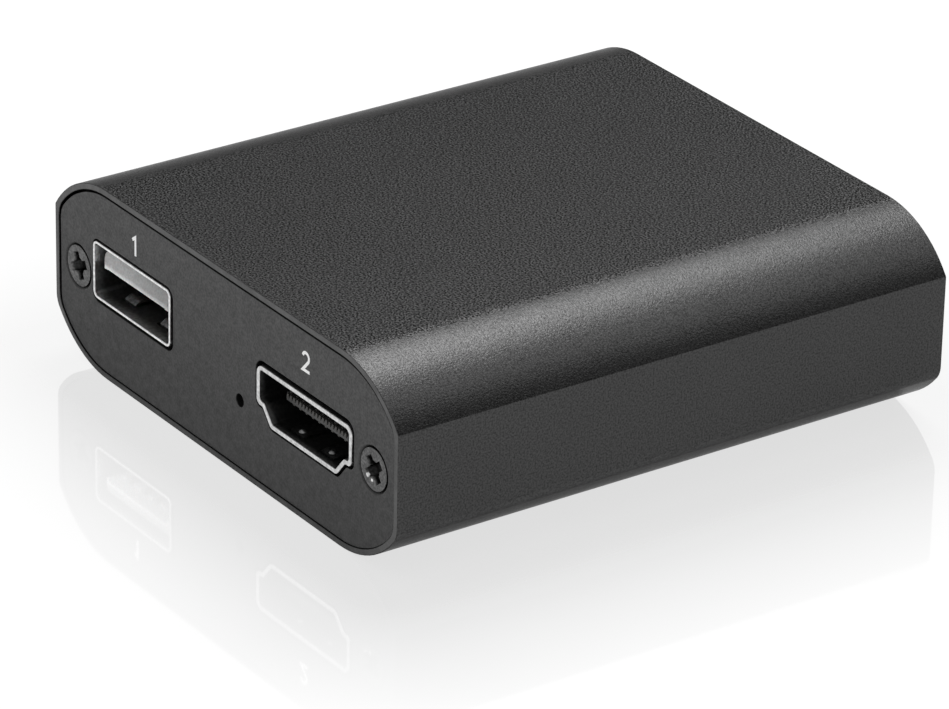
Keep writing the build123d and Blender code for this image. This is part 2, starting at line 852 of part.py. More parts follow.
def regulator_leads():
    pins = []
    for place in regulator_places:
        for half in range(2):
            row = leads(regulator_leads_per_side, regulator_lead_pitch, regulator_width / 2,
                        regulator_height)
            pins += [on_board(place) * Rot(0, 0, 180 * half) * pin for pin in row]
    return solids_of(pins)


def power_inductors():
    bodies = []
    for place in inductor_places:
        body = Pos(0, 0, inductor_height / 2) * Box(inductor_size, inductor_size, inductor_height)
        body = chamfer(body.edges().filter_by(Axis.Z), inductor_corner)
        body -= Pos(0, 0, inductor_height) * Cylinder(inductor_core_diameter / 2,
                                                      2 * inductor_core_sink)
        bodies.append(on_board(place) * body)
    return solids_of(bodies)


def crystals():
    cans = []
    for place in crystal_places:
        plan = RectangleRounded(crystal_length, crystal_width, crystal_corner_radius)
        cans.append(on_board(place) * extrude(plan, crystal_height))
    return solids_of(cans)


def bulk_capacitors():
    bodies = []
    for place in bulk_places:
        body = Pos(0, 0, bulk_height / 2) * Box(bulk_length, bulk_width, bulk_height)
        notch = Pos(0, 0, bulk_height) * Box(bulk_terminal, bulk_width, bulk_terminal)
        bodies.append(on_board(place) * (body - Pos(bulk_length / 2 - bulk_terminal, 0, 0) * notch))
    return solids_of(bodies)


def surge_arrays():
    bodies = []
    for place in surge_places:
        body = Pos(0, 0, surge_height / 2) * Box(surge_length, surge_width, surge_height)
        bodies.append(on_board(place) * body)
    return solids_of(bodies)


def passive():
    """A chip resistor or capacitor standing on zero, thicker over its two terminals."""
    slim = passive_height - passive_terminal / 2
    body = Pos(0, 0, slim / 2) * Box(passive_length, passive_width, slim)
    for side in (-1, 1):
        end = Pos(side * (passive_length - passive_terminal) / 2, 0, passive_height / 2)
        body += end * Box(passive_terminal, passive_width, passive_height)
    return body


def passive_ring(chip_half, count):
    """Passives in a row along each side of a square chip."""
    ring = []
    for quarter in range(4):
        for number in range(count):
            x = (number - (count - 1) / 2) * passive_pitch
            place = Rot(0, 0, 90 * quarter) * Pos(x, chip_half + passive_ring_gap, 0)
            ring.append(place * passive())
    return ring


def ceramic_capacitors():
    ring = passive_ring(capture_chip_size / 2, capacitors_per_side)
    parts = [on_board(capture_place) * part for part in ring]
    middle = on_board(capture_place)
    for column in range(under_columns):
        for row in range(under_rows):
            x = (column - (under_columns - 1) / 2) * 2 * passive_pitch
            y = (row - (under_rows - 1) / 2) * 2 * passive_pitch
            hung = Pos(x, y, -board_thickness) * Rot(180, 0, 0) * passive()
            parts.append(middle * hung)
    return solids_of(parts)


def resistors():
    ring = passive_ring(splitter_chip_size / 2 + lead_reach, resistors_per_side)
    return solids_of([on_board(splitter_place) * part for part in ring])


def indicator_led():
    """A side-view lamp at the board's edge, its lens on the hole in the front plate."""
    top = indicator_z + led_lens_radius
    half = led_length / 2
    start = board_front + led_edge_gap + led_lens_radius
    body = block(indicator_offset - half, indicator_offset + half, start, start + led_width,
                 board_top, top)
    dome = Pos(indicator_offset, start, indicator_z) * Sphere(led_lens_radius)
    return body + dome


def main():
    write("case_sleeve", case_sleeve())
    write("front_plate", front_plate())
    write("rear_plate", rear_plate())
    write("front_plate_screws", plate_screws(-1))
    write("rear_plate_screws", plate_screws(1))
    write("main_board", main_board())
    write("solder_joints", solder_joints())
    write("usb_shell", usb_shell())
    write("usb_insulator", usb_insulator())
    write("usb_contact_tails", usb_contact_tails())
    for number, place in enumerate(usb_contact_places):
        write("usb_contact_" + str(number + 1), usb_contact(place))
    for word, side in (("left", -1), ("right", 1)):
        write("usb_top_spring_" + word, usb_springs(side, True))
        write("usb_bottom_spring_" + word, usb_springs(side, False))
    for name, end, place in (("output", -1, output_offset), ("input", 1, 0)):
        write(name + "_shell", video_shell(end, place))
        write(name + "_insulator", video_insulator(end, place))
        write(name + "_contacts", video_contacts(end, place))
        for word, side in (("left", -1), ("right", 1)):
            write(name + "_top_spring_" + word, video_spring(end, place, side, True))
            write(name + "_bottom_spring_" + word, video_spring(end, place, side, False))
    write("capture_chip", capture_chip())
    write("splitter_chip", splitter_chip())
    write("splitter_chip_leads", splitter_chip_leads())
    write("memory_chip", memory_chip())
    write("flash_chip", flash_chip())
    write("flash_chip_leads", flash_chip_leads())
    write("regulators", regulators())
    write("regulator_leads", regulator_leads())
    write("power_inductors", power_inductors())
    write("crystals", crystals())
    write("bulk_capacitors", bulk_capacitors())
    write("surge_arrays", surge_arrays())
    write("ceramic_capacitors", ceramic_capacitors())
    write("resistors", resistors())
    write("indicator_led", indicator_led())


main()
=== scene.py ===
import bmesh
import bpy
from math import cos, radians, sin
from mathutils import Matrix, Vector


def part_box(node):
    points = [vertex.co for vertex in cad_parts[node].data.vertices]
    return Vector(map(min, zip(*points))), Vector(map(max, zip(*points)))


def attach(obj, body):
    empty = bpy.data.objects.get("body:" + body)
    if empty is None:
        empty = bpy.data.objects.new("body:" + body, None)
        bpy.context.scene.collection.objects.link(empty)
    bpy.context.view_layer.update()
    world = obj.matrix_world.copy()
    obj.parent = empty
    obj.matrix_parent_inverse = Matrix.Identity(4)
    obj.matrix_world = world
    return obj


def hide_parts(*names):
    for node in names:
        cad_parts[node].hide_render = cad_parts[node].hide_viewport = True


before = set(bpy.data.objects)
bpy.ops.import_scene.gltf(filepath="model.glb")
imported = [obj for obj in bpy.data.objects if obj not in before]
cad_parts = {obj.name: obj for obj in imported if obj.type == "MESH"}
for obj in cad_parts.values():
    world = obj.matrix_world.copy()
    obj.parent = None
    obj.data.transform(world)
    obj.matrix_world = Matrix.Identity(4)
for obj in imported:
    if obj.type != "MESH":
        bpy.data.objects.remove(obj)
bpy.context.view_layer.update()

MM = 0.001
END = 29.15 * MM            # the ends of the case, before and behind the middle
HALF_WIDTH = 27.7 * MM
PLATE_FACE = 29.05 * MM     # the outer face of a plate
TONGUE_EDGE = 10.42 * MM    # the underside of the USB socket's tongue
CREASES = (4.58 * MM, 14.12 * MM)          # their heights
CREASE_WIDTHS = (0.6 * MM, 0.08 * MM)      # how far they are rounded
CUT_WIDTH = 0.06 * MM       # the rounding of the case's cut ends
CUT_DEPTH = 0.02 * MM       # faces this close to an end belong to the cut
PLATE_WIDTH = 0.03 * MM
PLATE_SHARP_BELOW = 1 * MM  # a plate's lowest edges stay sharp
SCREW_WIDTH = 0.03 * MM
SCREW_FACE_DEPTH = 0.1 * MM
SHELL_WIDTHS = (("usb_shell", 0.08 * MM), ("output_shell", 0.09 * MM), ("input_shell", 0.09 * MM))
ROUNDED_ANGLE = radians(28)
SHARP_ANGLE = radians(30)
NEAR = 0.01 * MM            # a corner this close to a plane lies in it

# Light and floor
DARK_SIDE = (0.72, 0.5, 0.48)              # the direction of the studio's dark side
# Painted shadow on the floor's glow, across and along the case near its edges
PAINTED_SHADOW_ACROSS = (HALF_WIDTH - 8 * MM, HALF_WIDTH - 5.6 * MM)
PAINTED_SHADOW_ALONG = (END - 2 * MM, END)
PAINTED_SHADOW_SHARE = 0.7
FLOOR_GLOW = 0.94
MIRROR_REACH = (4 * MM, 29 * MM)           # from the case's outline to where the image ends
MIRROR_SHARE = 0.24
MIRROR_ROUGHNESS = 0.04

# Surfaces
# Painted sparkle: the grain made stronger on level faces
LEVEL_NORMALS = (0.993, 0.9999)            # the upward parts between which the grain grows
GRAIN_SHARES = (0.22, 1.05)                # on what leans and on what is level
GRAIN_SIZE = 0.17 * MM
GRAIN_GAIN = 5.5
GRAIN_DARKEST = 0.05
SCRAPES = (((23.0, -29.02, 8.5), 0.26 * MM), ((23.65, -29.02, 8.25), 0.2 * MM))
TRACK_SPACING = 0.3 * MM
TRACK_SIDES = (0.1 * MM, 0.13 * MM)

# The ends of the video contacts, seen as a comb
COMB_EACH_SIDE = 9
COMB_PITCH = 0.5 * MM
COMB_FRONT = 27.65 * MM
COMB_HEIGHT = 9.6 * MM
COMB_STROKE = (0.24 * MM, 0.3 * MM, 0.42 * MM)

# The printed numbers: which one, how far across, and the end of the case that it is on
NUMBER_LEVEL = 14.15 * MM
NUMBER_PLACES = (("1", -14.2 * MM, -1), ("2", 13.45 * MM, -1), ("3", 0, 1))


# Camera and surroundings

def place_camera():
    """The viewpoint of the photograph, with its focal length for a frame 949 by 709."""
    azimuth, elevation, roll = radians(54.8948), radians(25.9505), radians(1.1821)
    distance = 533.0144 * MM
    target = Vector((-2.2171, -0.5614, 1.9420)) * MM
    back = Vector((sin(azimuth) * cos(elevation), -cos(azimuth) * cos(elevation), sin(elevation)))
    level = Vector((cos(azimuth), sin(azimuth), 0))
    above = back.cross(level)
    right = cos(roll) * level + sin(roll) * above
    up = cos(roll) * above - sin(roll) * level
    data = bpy.data.cameras.new("camera")
    data.lens = 223.92
    data.sensor_width = 36
    data.sensor_fit = "HORIZONTAL"
    data.clip_start = 0.01
    camera = bpy.data.objects.new("camera", data)
    camera.matrix_world = Matrix.Translation(target + back * distance) @ Matrix(
        (right, up, back)).transposed().to_4x4()
    bpy.context.scene.collection.objects.link(camera)
    bpy.context.scene.camera = camera


def add(tree, kind, **settings):
    """A new shader node with its settings."""
    made = tree.nodes.new("ShaderNode" + kind)
    for name, value in settings.items():
        setattr(made, name, value)
    return made


def feed(tree, socket, value):
    """Links a socket to another, or sets it to a number or colour."""
    if isinstance(value, bpy.types.NodeSocket):
        tree.links.new(value, socket)
    else:
        socket.default_value = value


def math(tree, operation, *values):
    """A sum of sockets and numbers."""
    made = add(tree, "Math", operation=operation)
    for socket, value in zip(made.inputs, values):
        feed(tree, socket, value)
    return made.outputs[0]


def grey(level):
    return (level, level, level, 1)


def rgb(red, green, blue):
    return (red, green, blue, 1)


def scaled(tree, colour, factor):
    """A colour made brighter or darker by a factor."""
    made = add(tree, "VectorMath", operation="SCALE")
    tree.links.new(colour, made.inputs[0])
    feed(tree, made.inputs["Scale"], factor)
    return made.outputs[0]


def ramp(tree, value, low, high, to_low=0.0, to_high=1.0, smooth=True):
    """A value led from one range to another, and held at its ends."""
    made = add(tree, "MapRange", interpolation_type="SMOOTHSTEP" if smooth else "LINEAR")
    for name, number in (("From Min", low), ("From Max", high), ("To Min", to_low),
                         ("To Max", to_high)):
        made.inputs[name].default_value = number
    tree.links.new(value, made.inputs["Value"])
    return made.outputs["Result"]


def make_world():
    """White where the camera looks, softer light on the object, most of it from the front, and
    a studio with a white horizon, a grey ceiling and a dark side for what is glossy."""
    world = bpy.data.worlds.new("studio")
    bpy.context.scene.world = world
    world.use_nodes = True
    tree = world.node_tree
    tree.nodes.clear()
    path = add(tree, "LightPath")
    direction = add(tree, "TexCoord").outputs["Generated"]
    split = add(tree, "SeparateXYZ")
    tree.links.new(direction, split.inputs[0])
    toward_dark = add(tree, "VectorMath", operation="DOT_PRODUCT")
    tree.links.new(direction, toward_dark.inputs[0])
    toward_dark.inputs[1].default_value = Vector(DARK_SIDE).normalized()
    wall = ramp(tree, split.outputs["Z"], 0.1, 0.4, 1.0, 0.6)
    dark = ramp(tree, toward_dark.outputs["Value"], 0.91, 0.99, 0.95, 0.1)
    glossy = math(tree, "MULTIPLY", wall, dark)
    seen = math(tree, "MAXIMUM", path.outputs["Is Camera Ray"],
                path.outputs["Is Transmission Ray"])
    strength = add(tree, "Mix", data_type="FLOAT")
    feed(tree, strength.inputs["Factor"], path.outputs["Is Glossy Ray"])
    feed(tree, strength.inputs["A"], ramp(tree, split.outputs["Y"], -0.8, 0.4, 0.95, 0.45))
    feed(tree, strength.inputs["B"], glossy)
    final = add(tree, "Mix", data_type="FLOAT")
    feed(tree, final.inputs["Factor"], seen)
    feed(tree, final.inputs["A"], strength.outputs["Result"])
    final.inputs["B"].default_value = 1.0
    background = add(tree, "Background")
    background.inputs["Color"].default_value = grey(1.0)
    feed(tree, background.inputs["Strength"], final.outputs["Result"])
    out = add(tree, "OutputWorld")
    tree.links.new(background.outputs[0], out.inputs["Surface"])


def make_lamp(name, direction, distance, across, size, size_y, watts):
    """A soft rectangle of light that faces the case, with its width along across."""
    data = bpy.data.lights.new(name, "AREA")
    data.shape = "RECTANGLE"
    data.size = size
    data.size_y = size_y
    data.energy = watts
    lamp = bpy.data.objects.new(name, data)
    back = Vector(direction).normalized()
    up = back.cross(Vector(across)).normalized()
    lamp.matrix_world = Matrix.Translation(back * distance) @ Matrix(
        (up.cross(back), up, back)).transposed().to_4x4()
    bpy.context.scene.collection.objects.link(lamp)


def make_floor():
    """A pale floor, with painted shadow under the case and a faint mirror image fading from it."""
    half = 2.0
    drop = -0.02 * MM
    mesh = bpy.data.meshes.new("floor")
    mesh.from_pydata([(-half, -half, drop), (half, -half, drop), (half, half, drop),
                      (-half, half, drop)], [], [(0, 1, 2, 3)])
    floor = bpy.data.objects.new("floor", mesh)
    bpy.context.scene.collection.objects.link(floor)
    material = bpy.data.materials.new("floor")
    material.use_nodes = True
    tree = material.node_tree
    tree.nodes.clear()
    path = add(tree, "LightPath")
    diffuse = add(tree, "BsdfDiffuse")
    diffuse.inputs["Color"].default_value = grey(0.8)
    shaded = add(tree, "BsdfDiffuse")
    shaded.inputs["Color"].default_value = grey(0.1)
    glow = add(tree, "Emission")
    glow.inputs["Color"].default_value = grey(1.0)
    lit = add(tree, "AddShader")
    tree.links.new(shaded.outputs[0], lit.inputs[0])
    tree.links.new(glow.outputs[0], lit.inputs[1])
    split = add(tree, "SeparateXYZ")
    tree.links.new(add(tree, "NewGeometry").outputs["Position"], split.inputs[0])
    across, along = [math(tree, "ABSOLUTE", split.outputs[axis]) for axis in ("X", "Y")]
    # painted shadow: the floor's glow dimmed under the case's edges
    painted_shadow = math(tree, "MULTIPLY",
                   ramp(tree, across, *PAINTED_SHADOW_ACROSS, PAINTED_SHADOW_SHARE, 0.0),
                   ramp(tree, along, *PAINTED_SHADOW_ALONG, 1.0, 0.0))
    feed(tree, glow.inputs["Strength"],
         math(tree, "MULTIPLY", math(tree, "SUBTRACT", 1.0, painted_shadow), FLOOR_GLOW))
    beyond = [math(tree, "MAXIMUM", math(tree, "SUBTRACT", offset, edge), 0.0)
              for offset, edge in ((across, HALF_WIDTH), (along, END))]
    away = math(tree, "SQRT", math(tree, "ADD", math(tree, "POWER", beyond[0], 2.0),
                                   math(tree, "POWER", beyond[1], 2.0)))
    share = ramp(tree, away, *MIRROR_REACH, MIRROR_SHARE, 0.0, smooth=False)
    mirror = add(tree, "BsdfGlossy")
    mirror.inputs["Color"].default_value = grey(1.0)
    mirror.inputs["Roughness"].default_value = MIRROR_ROUGHNESS
    polished = add(tree, "MixShader")
    feed(tree, polished.inputs[0], share)
    tree.links.new(lit.outputs[0], polished.inputs[1])
    tree.links.new(mirror.outputs[0], polished.inputs[2])
    seen = math(tree, "MAXIMUM", path.outputs["Is Camera Ray"],
                math(tree, "MAXIMUM", path.outputs["Is Glossy Ray"],
                     path.outputs["Is Transmission Ray"]))
    choice = add(tree, "MixShader")
    feed(tree, choice.inputs[0], seen)
    tree.links.new(diffuse.outputs[0], choice.inputs[1])
    tree.links.new(polished.outputs[0], choice.inputs[2])
    out = add(tree, "OutputMaterial")
    tree.links.new(choice.outputs[0], out.inputs["Surface"])
    mesh.materials.append(material)


# Materials

def noise(tree, coordinates, size, detail=2.0):
    """Noise whose grains are this large, in metres."""
    made = add(tree, "TexNoise")
    tree.links.new(coordinates, made.inputs["Vector"])
    made.inputs["Scale"].default_value = 1 / size
    made.inputs["Detail"].default_value = detail
    made.inputs["Roughness"].default_value = 0.5
    return made.outputs[0]


def blend_colours(tree, factor, first, second):
    """The first colour at a factor of 0, the second at 1."""
    made = add(tree, "Mix", data_type="RGBA")
    feed(tree, made.inputs["Factor"], factor)
    feed(tree, made.inputs["A"], first)
    feed(tree, made.inputs["B"], second)
    return made.outputs["Result"]


def finish(name, colours, rough, metallic=0.0, grains=(), cloud=3 * MM, speckle=None, extras=(),
           **sockets):
    """A surface whose colour and roughness drift between two values over clouds of one size, with
    bumps in grains of (size, height) and speckles of (size, share) in its colour."""
    material = bpy.data.materials.new(name)
    material.use_nodes = True
    tree = material.node_tree
    tree.nodes.clear()
    shader = add(tree, "BsdfPrincipled")
    place = add(tree, "TexCoord").outputs["Object"]
    drift = ramp(tree, noise(tree, place, cloud, 4.0), 0.3, 0.7)
    colour = blend_colours(tree, drift, colours[0], colours[1])
    if speckle:
        size, share = speckle
        colour = scaled(tree, colour, ramp(tree, noise(tree, place, size, 0.0), 0.25, 0.75,
                                           1 - share, 1 + share, smooth=False))
    for extra in extras:
        colour = extra(tree, place, colour)
    feed(tree, shader.inputs["Base Color"], colour)
    smears = noise(tree, place, cloud / 6, 3.0)
    feed(tree, shader.inputs["Roughness"], ramp(tree, smears, 0.3, 0.7, *rough))
    shader.inputs["Metallic"].default_value = metallic
    for socket, value in sockets.items():
        shader.inputs[socket.replace("_", " ")].default_value = value
    height = None
    for size, rise in grains:
        layer = math(tree, "MULTIPLY", noise(tree, place, size), rise)
        height = layer if height is None else math(tree, "ADD", height, layer)
    if height is not None:
        bump = add(tree, "Bump")
        bump.inputs["Distance"].default_value = 1.0
        tree.links.new(height, bump.inputs["Height"])
        tree.links.new(bump.outputs["Normal"], shader.inputs["Normal"])
    out = add(tree, "OutputMaterial")
    tree.links.new(shader.outputs[0], out.inputs["Surface"])
    return material


def grain_with_painted_sparkle(tree, place, colour):
    """Bead-blasted grain, made strongest on what faces up or down, as painted sparkle."""
    split = add(tree, "SeparateXYZ")
    tree.links.new(add(tree, "NewGeometry").outputs["Normal"], split.inputs[0])
    share = ramp(tree, math(tree, "ABSOLUTE", split.outputs["Z"]), *LEVEL_NORMALS, *GRAIN_SHARES)
    grain = math(tree, "MULTIPLY_ADD", noise(tree, place, GRAIN_SIZE, 0.0), GRAIN_GAIN,
                 -GRAIN_GAIN / 2)
    return scaled(tree, colour, math(tree, "MAXIMUM", GRAIN_DARKEST, math(
        tree, "MULTIPLY_ADD", math(tree, "MINIMUM", grain, 1.0), share, 1.0)))


def painted_depth_shade(start, end, level):
    """Painted shade: darker between two depths behind the plates' faces, deep in a socket."""
    def darken(tree, place, colour):
        split = add(tree, "SeparateXYZ")
        tree.links.new(place, split.inputs[0])
        depth = math(tree, "SUBTRACT", PLATE_FACE, math(tree, "ABSOLUTE", split.outputs["Y"]))
        return scaled(tree, colour, ramp(tree, depth, start, end, 1.0, level))
    return darken


def painted_shading(axis, low, high, before, after):
    """Painted shade and light, scaled from level to level between two places along an axis."""
    def shade(tree, place, colour):
        split = add(tree, "SeparateXYZ")
        tree.links.new(place, split.inputs[0])
        return scaled(tree, colour, ramp(tree, split.outputs[axis], low, high, before, after))
    return shade


def scraped(tree, place, colour):
    """Two bright scrapes that a driver left beside the recess of one screw."""
    for spot, width in SCRAPES:
        away = add(tree, "VectorMath", operation="DISTANCE")
        tree.links.new(place, away.inputs[0])
        away.inputs[1].default_value = Vector(spot) * MM
        ragged = math(tree, "MULTIPLY_ADD", noise(tree, place, 0.15 * MM), 0.2 * MM,
                      away.outputs["Value"])
        share = ramp(tree, ragged, width, width + 0.1 * MM, 1.0, 0.0)
        colour = blend_colours(tree, share, colour, grey(0.8))
    return colour


def tracks(tree, place, colour):
    """Copper tracks that show through the board's green mask as paler lines."""
    split = add(tree, "SeparateXYZ")
    tree.links.new(place, split.inputs[0])
    lanes = None
    for axis in ("X", "Y"):
        wave = math(tree, "PINGPONG", math(tree, "ADD", split.outputs[axis], 1.0), TRACK_SPACING)
        line = ramp(tree, wave, *TRACK_SIDES)
        field = ramp(tree, noise(tree, place, 5 * MM, 0.0), 0.48, 0.52,
                     *((0, 1) if axis == "X" else (1, 0)))
        line = math(tree, "MULTIPLY", line, field)
        lanes = line if lanes is None else math(tree, "ADD", lanes, line)
    broken = ramp(tree, noise(tree, place, 3 * MM, 1.0), 0.5, 0.56)
    return blend_colours(tree, math(tree, "MULTIPLY", lanes, broken), colour,
                         rgb(0.03, 0.12, 0.06))


def make_materials():
    """One finish for each material slot, and more for the case's cut ends, the video shells,
    the sprung tabs, the comb and the print."""
    made = {}
    made["case"] = finish(
        "case", (grey(0.055), grey(0.058)), (0.28, 0.30), metallic=1.0, cloud=9 * MM,
        grains=((0.14 * MM, 0.03 * MM),),
        # painted shade: the lower shoulder darker near the floor; painted sparkle in the grain on
        # level faces
        extras=[grain_with_painted_sparkle, painted_shading("Z", 2.4 * MM, 3.8 * MM, 0.4, 1.0)], Specular_Tint=grey(0.5))
    made["case_rim"] = finish(
        "case_rim", (grey(0.085), grey(0.11)), (0.4, 0.5), metallic=1.0, cloud=2 * MM,
        # painted shade: the cut end darker towards the bottom
        grains=((0.08 * MM, 0.003 * MM),), extras=[painted_shading("Z", 0.5 * MM, 4 * MM, 0.5, 1.0)])
    made["plate"] = finish(
        "plate", (grey(0.042), grey(0.045)), (0.5, 0.6), metallic=0.4, cloud=5 * MM,
        grains=((0.16 * MM, 0.004 * MM), (1.2 * MM, 0.004 * MM)), speckle=(0.2 * MM, 0.35),
        # painted shade deep behind the face; painted shade and light: darker towards the bottom,
        # lighter towards the top
        extras=[painted_depth_shade(0.04 * MM, 0.14 * MM, 0.15), painted_shading("Z", -2 * MM, 19 * MM, 0.5, 1.12)])
    made["screw"] = finish(
        "screw", (grey(0.075), grey(0.11)), (0.3, 0.4), metallic=1.0, cloud=0.8 * MM,
        grains=((0.1 * MM, 0.003 * MM),), speckle=(0.2 * MM, 0.4),
        # painted shade: darker deeper in the recess and around the head
        extras=[painted_depth_shade(0.1 * MM, 0.3 * MM, 0.25), scraped])
    made["plated_shell"] = finish(
        "plated_shell", (grey(0.68), grey(0.76)), (0.28, 0.34), metallic=1.0, cloud=1.5 * MM,
        grains=((0.2 * MM, 0.002 * MM),), speckle=(0.3 * MM, 0.2),
        # painted shade: darker deep inside the socket
        extras=[painted_depth_shade(0.08 * MM, 1.2 * MM, 0.32)])
    made["video_shell"] = finish(
        "video_shell", (grey(0.56), grey(0.64)), (0.28, 0.34), metallic=1.0, cloud=1.5 * MM,
        grains=((0.2 * MM, 0.002 * MM),), speckle=(0.3 * MM, 0.2),
        # painted shade: darker deep inside the socket
        extras=[painted_depth_shade(0.08 * MM, 0.7 * MM, 0.26)])
    made["spring"] = finish(
        "spring", (grey(0.15), grey(0.25)), (0.28, 0.34), metallic=1.0, cloud=0.7 * MM,
        grains=((0.2 * MM, 0.01 * MM),), speckle=(0.3 * MM, 0.3))
    made["dull_spring"] = finish(
        "dull_spring", (grey(0.16), grey(0.3)), (0.34, 0.44), metallic=1.0, cloud=0.7 * MM,
        grains=((0.2 * MM, 0.006 * MM),), speckle=(0.3 * MM, 0.4))
    made["pale_insulator"] = finish(
        "pale_insulator", (grey(0.68), grey(0.76)), (0.38, 0.5), cloud=1.2 * MM,
        grains=((0.15 * MM, 0.004 * MM),), speckle=(0.2 * MM, 0.12),
        # painted shade: the tongue darker deep in the socket, towards its top under the shell's
        # roof and towards its right end
        extras=[painted_depth_shade(2.5 * MM, 5 * MM, 0.3),
                painted_shading("Z", TONGUE_EDGE + 0.25 * MM, TONGUE_EDGE + 0.75 * MM, 1.0, 0.52),
                painted_shading("X", -20 * MM, -9 * MM, 1.05, 0.75)],
        Subsurface_Weight=0.1, Subsurface_Scale=0.3 * MM)
    made["black_insulator"] = finish(
        "black_insulator", (grey(0.016), grey(0.03)), (0.35, 0.45), cloud=0.8 * MM,
        grains=((0.12 * MM, 0.003 * MM),))
    made["gold_contact"] = finish(
        "gold_contact", (rgb(0.68, 0.56, 0.36), rgb(0.74, 0.62, 0.42)), (0.28, 0.36), metallic=1.0,
        cloud=0.8 * MM, grains=((0.08 * MM, 0.001 * MM),), speckle=(0.2 * MM, 0.2),
        # painted shade: darker deep in the socket
        extras=[painted_depth_shade(1.2 * MM, 3 * MM, 0.25)])
    made["comb"] = finish(
        "comb", (rgb(0.045, 0.043, 0.04), rgb(0.065, 0.062, 0.058)), (0.4, 0.5), metallic=0.5,
        cloud=0.5 * MM, grains=((0.08 * MM, 0.001 * MM),))
    made["board"] = finish(
        "board", (rgb(0.01, 0.055, 0.025), rgb(0.014, 0.07, 0.032)), (0.3, 0.42), cloud=6 * MM,
        grains=((0.4 * MM, 0.003 * MM),), extras=[tracks], Coat_Weight=0.3)
    made["solder"] = finish(
        "solder", (grey(0.5), grey(0.6)), (0.22, 0.38), metallic=1.0, cloud=0.9 * MM,
        grains=((0.3 * MM, 0.006 * MM),))
    made["chip"] = finish(
        "chip", (grey(0.016), grey(0.022)), (0.5, 0.62), cloud=2 * MM,
        grains=((0.07 * MM, 0.004 * MM),))
    made["tinned_lead"] = finish(
        "tinned_lead", (grey(0.5), grey(0.58)), (0.28, 0.4), metallic=1.0, cloud=0.8 * MM,
        grains=((0.1 * MM, 0.002 * MM),))
    made["ferrite"] = finish(
        "ferrite", (grey(0.035), grey(0.05)), (0.6, 0.75), cloud=0.9 * MM,
        grains=((0.12 * MM, 0.012 * MM),))
    made["crystal_can"] = finish(
        "crystal_can", (grey(0.55), grey(0.62)), (0.25, 0.35), metallic=1.0, cloud=1.2 * MM,
        grains=((0.1 * MM, 0.001 * MM),))
    made["tantalum"] = finish(
        "tantalum", (rgb(0.55, 0.3, 0.05), rgb(0.62, 0.36, 0.08)), (0.42, 0.55), cloud=1.2 * MM,
        grains=((0.1 * MM, 0.003 * MM),))
    made["ceramic_chip"] = finish(
        "ceramic_chip", (rgb(0.3, 0.2, 0.12), rgb(0.36, 0.25, 0.16)), (0.4, 0.5), cloud=0.5 * MM,
        grains=((0.05 * MM, 0.002 * MM),))
    made["resistor_chip"] = finish(
        "resistor_chip", (grey(0.02), grey(0.03)), (0.3, 0.4), cloud=0.4 * MM,
        grains=((0.05 * MM, 0.001 * MM),))
    made["lamp"] = finish(
        "lamp", (grey(0.6), grey(0.68)), (0.15, 0.25), cloud=0.8 * MM,
        grains=((0.1 * MM, 0.001 * MM),), Transmission_Weight=0.35)
    made["print"] = finish(
        "print", (grey(0.84), grey(0.9)), (0.5, 0.6), cloud=0.6 * MM,
        grains=((0.06 * MM, 0.002 * MM),))
    return made


# Pieces

def copied(node):
    """The mesh of a CAD node, joined up, with its flat faces made whole."""
    bm = bmesh.new()
    bm.from_mesh(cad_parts[node].data)
    bmesh.ops.remove_doubles(bm, verts=bm.verts, dist=0.0005 * MM)
    bmesh.ops.dissolve_limit(bm, angle_limit=radians(0.3), verts=bm.verts, edges=bm.edges)
    return bm


def turn(edge):
    """The angle between an edge's two faces."""
    return abs(edge.calc_face_angle(0.0)) if len(edge.link_faces) == 2 else 0.0


def rounded(bm, chosen, width, segments=2):
    """Rounds the sharp edges that are chosen."""
    edges = [edge for edge in bm.edges if turn(edge) > ROUNDED_ANGLE and chosen(edge)]
    bmesh.ops.bevel(bm, geom=edges, offset=width, offset_type="OFFSET", segments=segments,
                    profile=0.5, affect="EDGES", clamp_overlap=False)


def piece(name, bm, node, body, materials):
    """A finished piece that stands for a CAD node and moves with its body."""
    mesh = bpy.data.meshes.new(name)
    bm.to_mesh(mesh)
    bm.free()
    for each in materials:
        mesh.materials.append(each)
    mesh.shade_smooth()
    mesh.set_sharp_from_angle(angle=SHARP_ANGLE)
    made = bpy.data.objects.new(name, mesh)
    bpy.context.scene.collection.objects.link(made)
    weights = made.modifiers.new("weights", "WEIGHTED_NORMAL")
    weights.keep_sharp = True
    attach(made, body)
    if node:
        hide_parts(node)


def at_end(edge):
    """Whether an edge lies in one of the planes of the case's ends."""
    return all(abs(abs(corner.co.y) - END) < NEAR for corner in edge.verts)


def make_case():
    """The extruded sleeve: creases and cut ends a little rounded, and the cut itself brighter."""
    bm = copied("case_sleeve")
    for height, width in zip(CREASES, CREASE_WIDTHS):
        rounded(bm, lambda edge: all(
            abs(abs(corner.co.x) - HALF_WIDTH) < NEAR
            and abs(corner.co.z - height) < 0.05 * MM for corner in edge.verts), width, 3)
    rounded(bm, at_end, CUT_WIDTH)
    for face in bm.faces:
        face.material_index = 1 if (abs(face.normal.y) > 0.98 and
                                    abs(face.calc_center_median().y) > END - CUT_DEPTH) else 0
    piece("sleeve", bm, "case_sleeve", "housing",
          [materials["case"], materials["case_rim"]])


def make_plate(node, end):
    """An end plate whose face and openings have softened edges, but for the lowest ones."""
    bm = copied(node)
    rounded(bm, lambda edge: all(
        abs(corner.co.y - end * PLATE_FACE) < NEAR and corner.co.z > PLATE_SHARP_BELOW
        for corner in edge.verts), PLATE_WIDTH)
    piece(node + "_face", bm, node, "housing", [materials["plate"]])


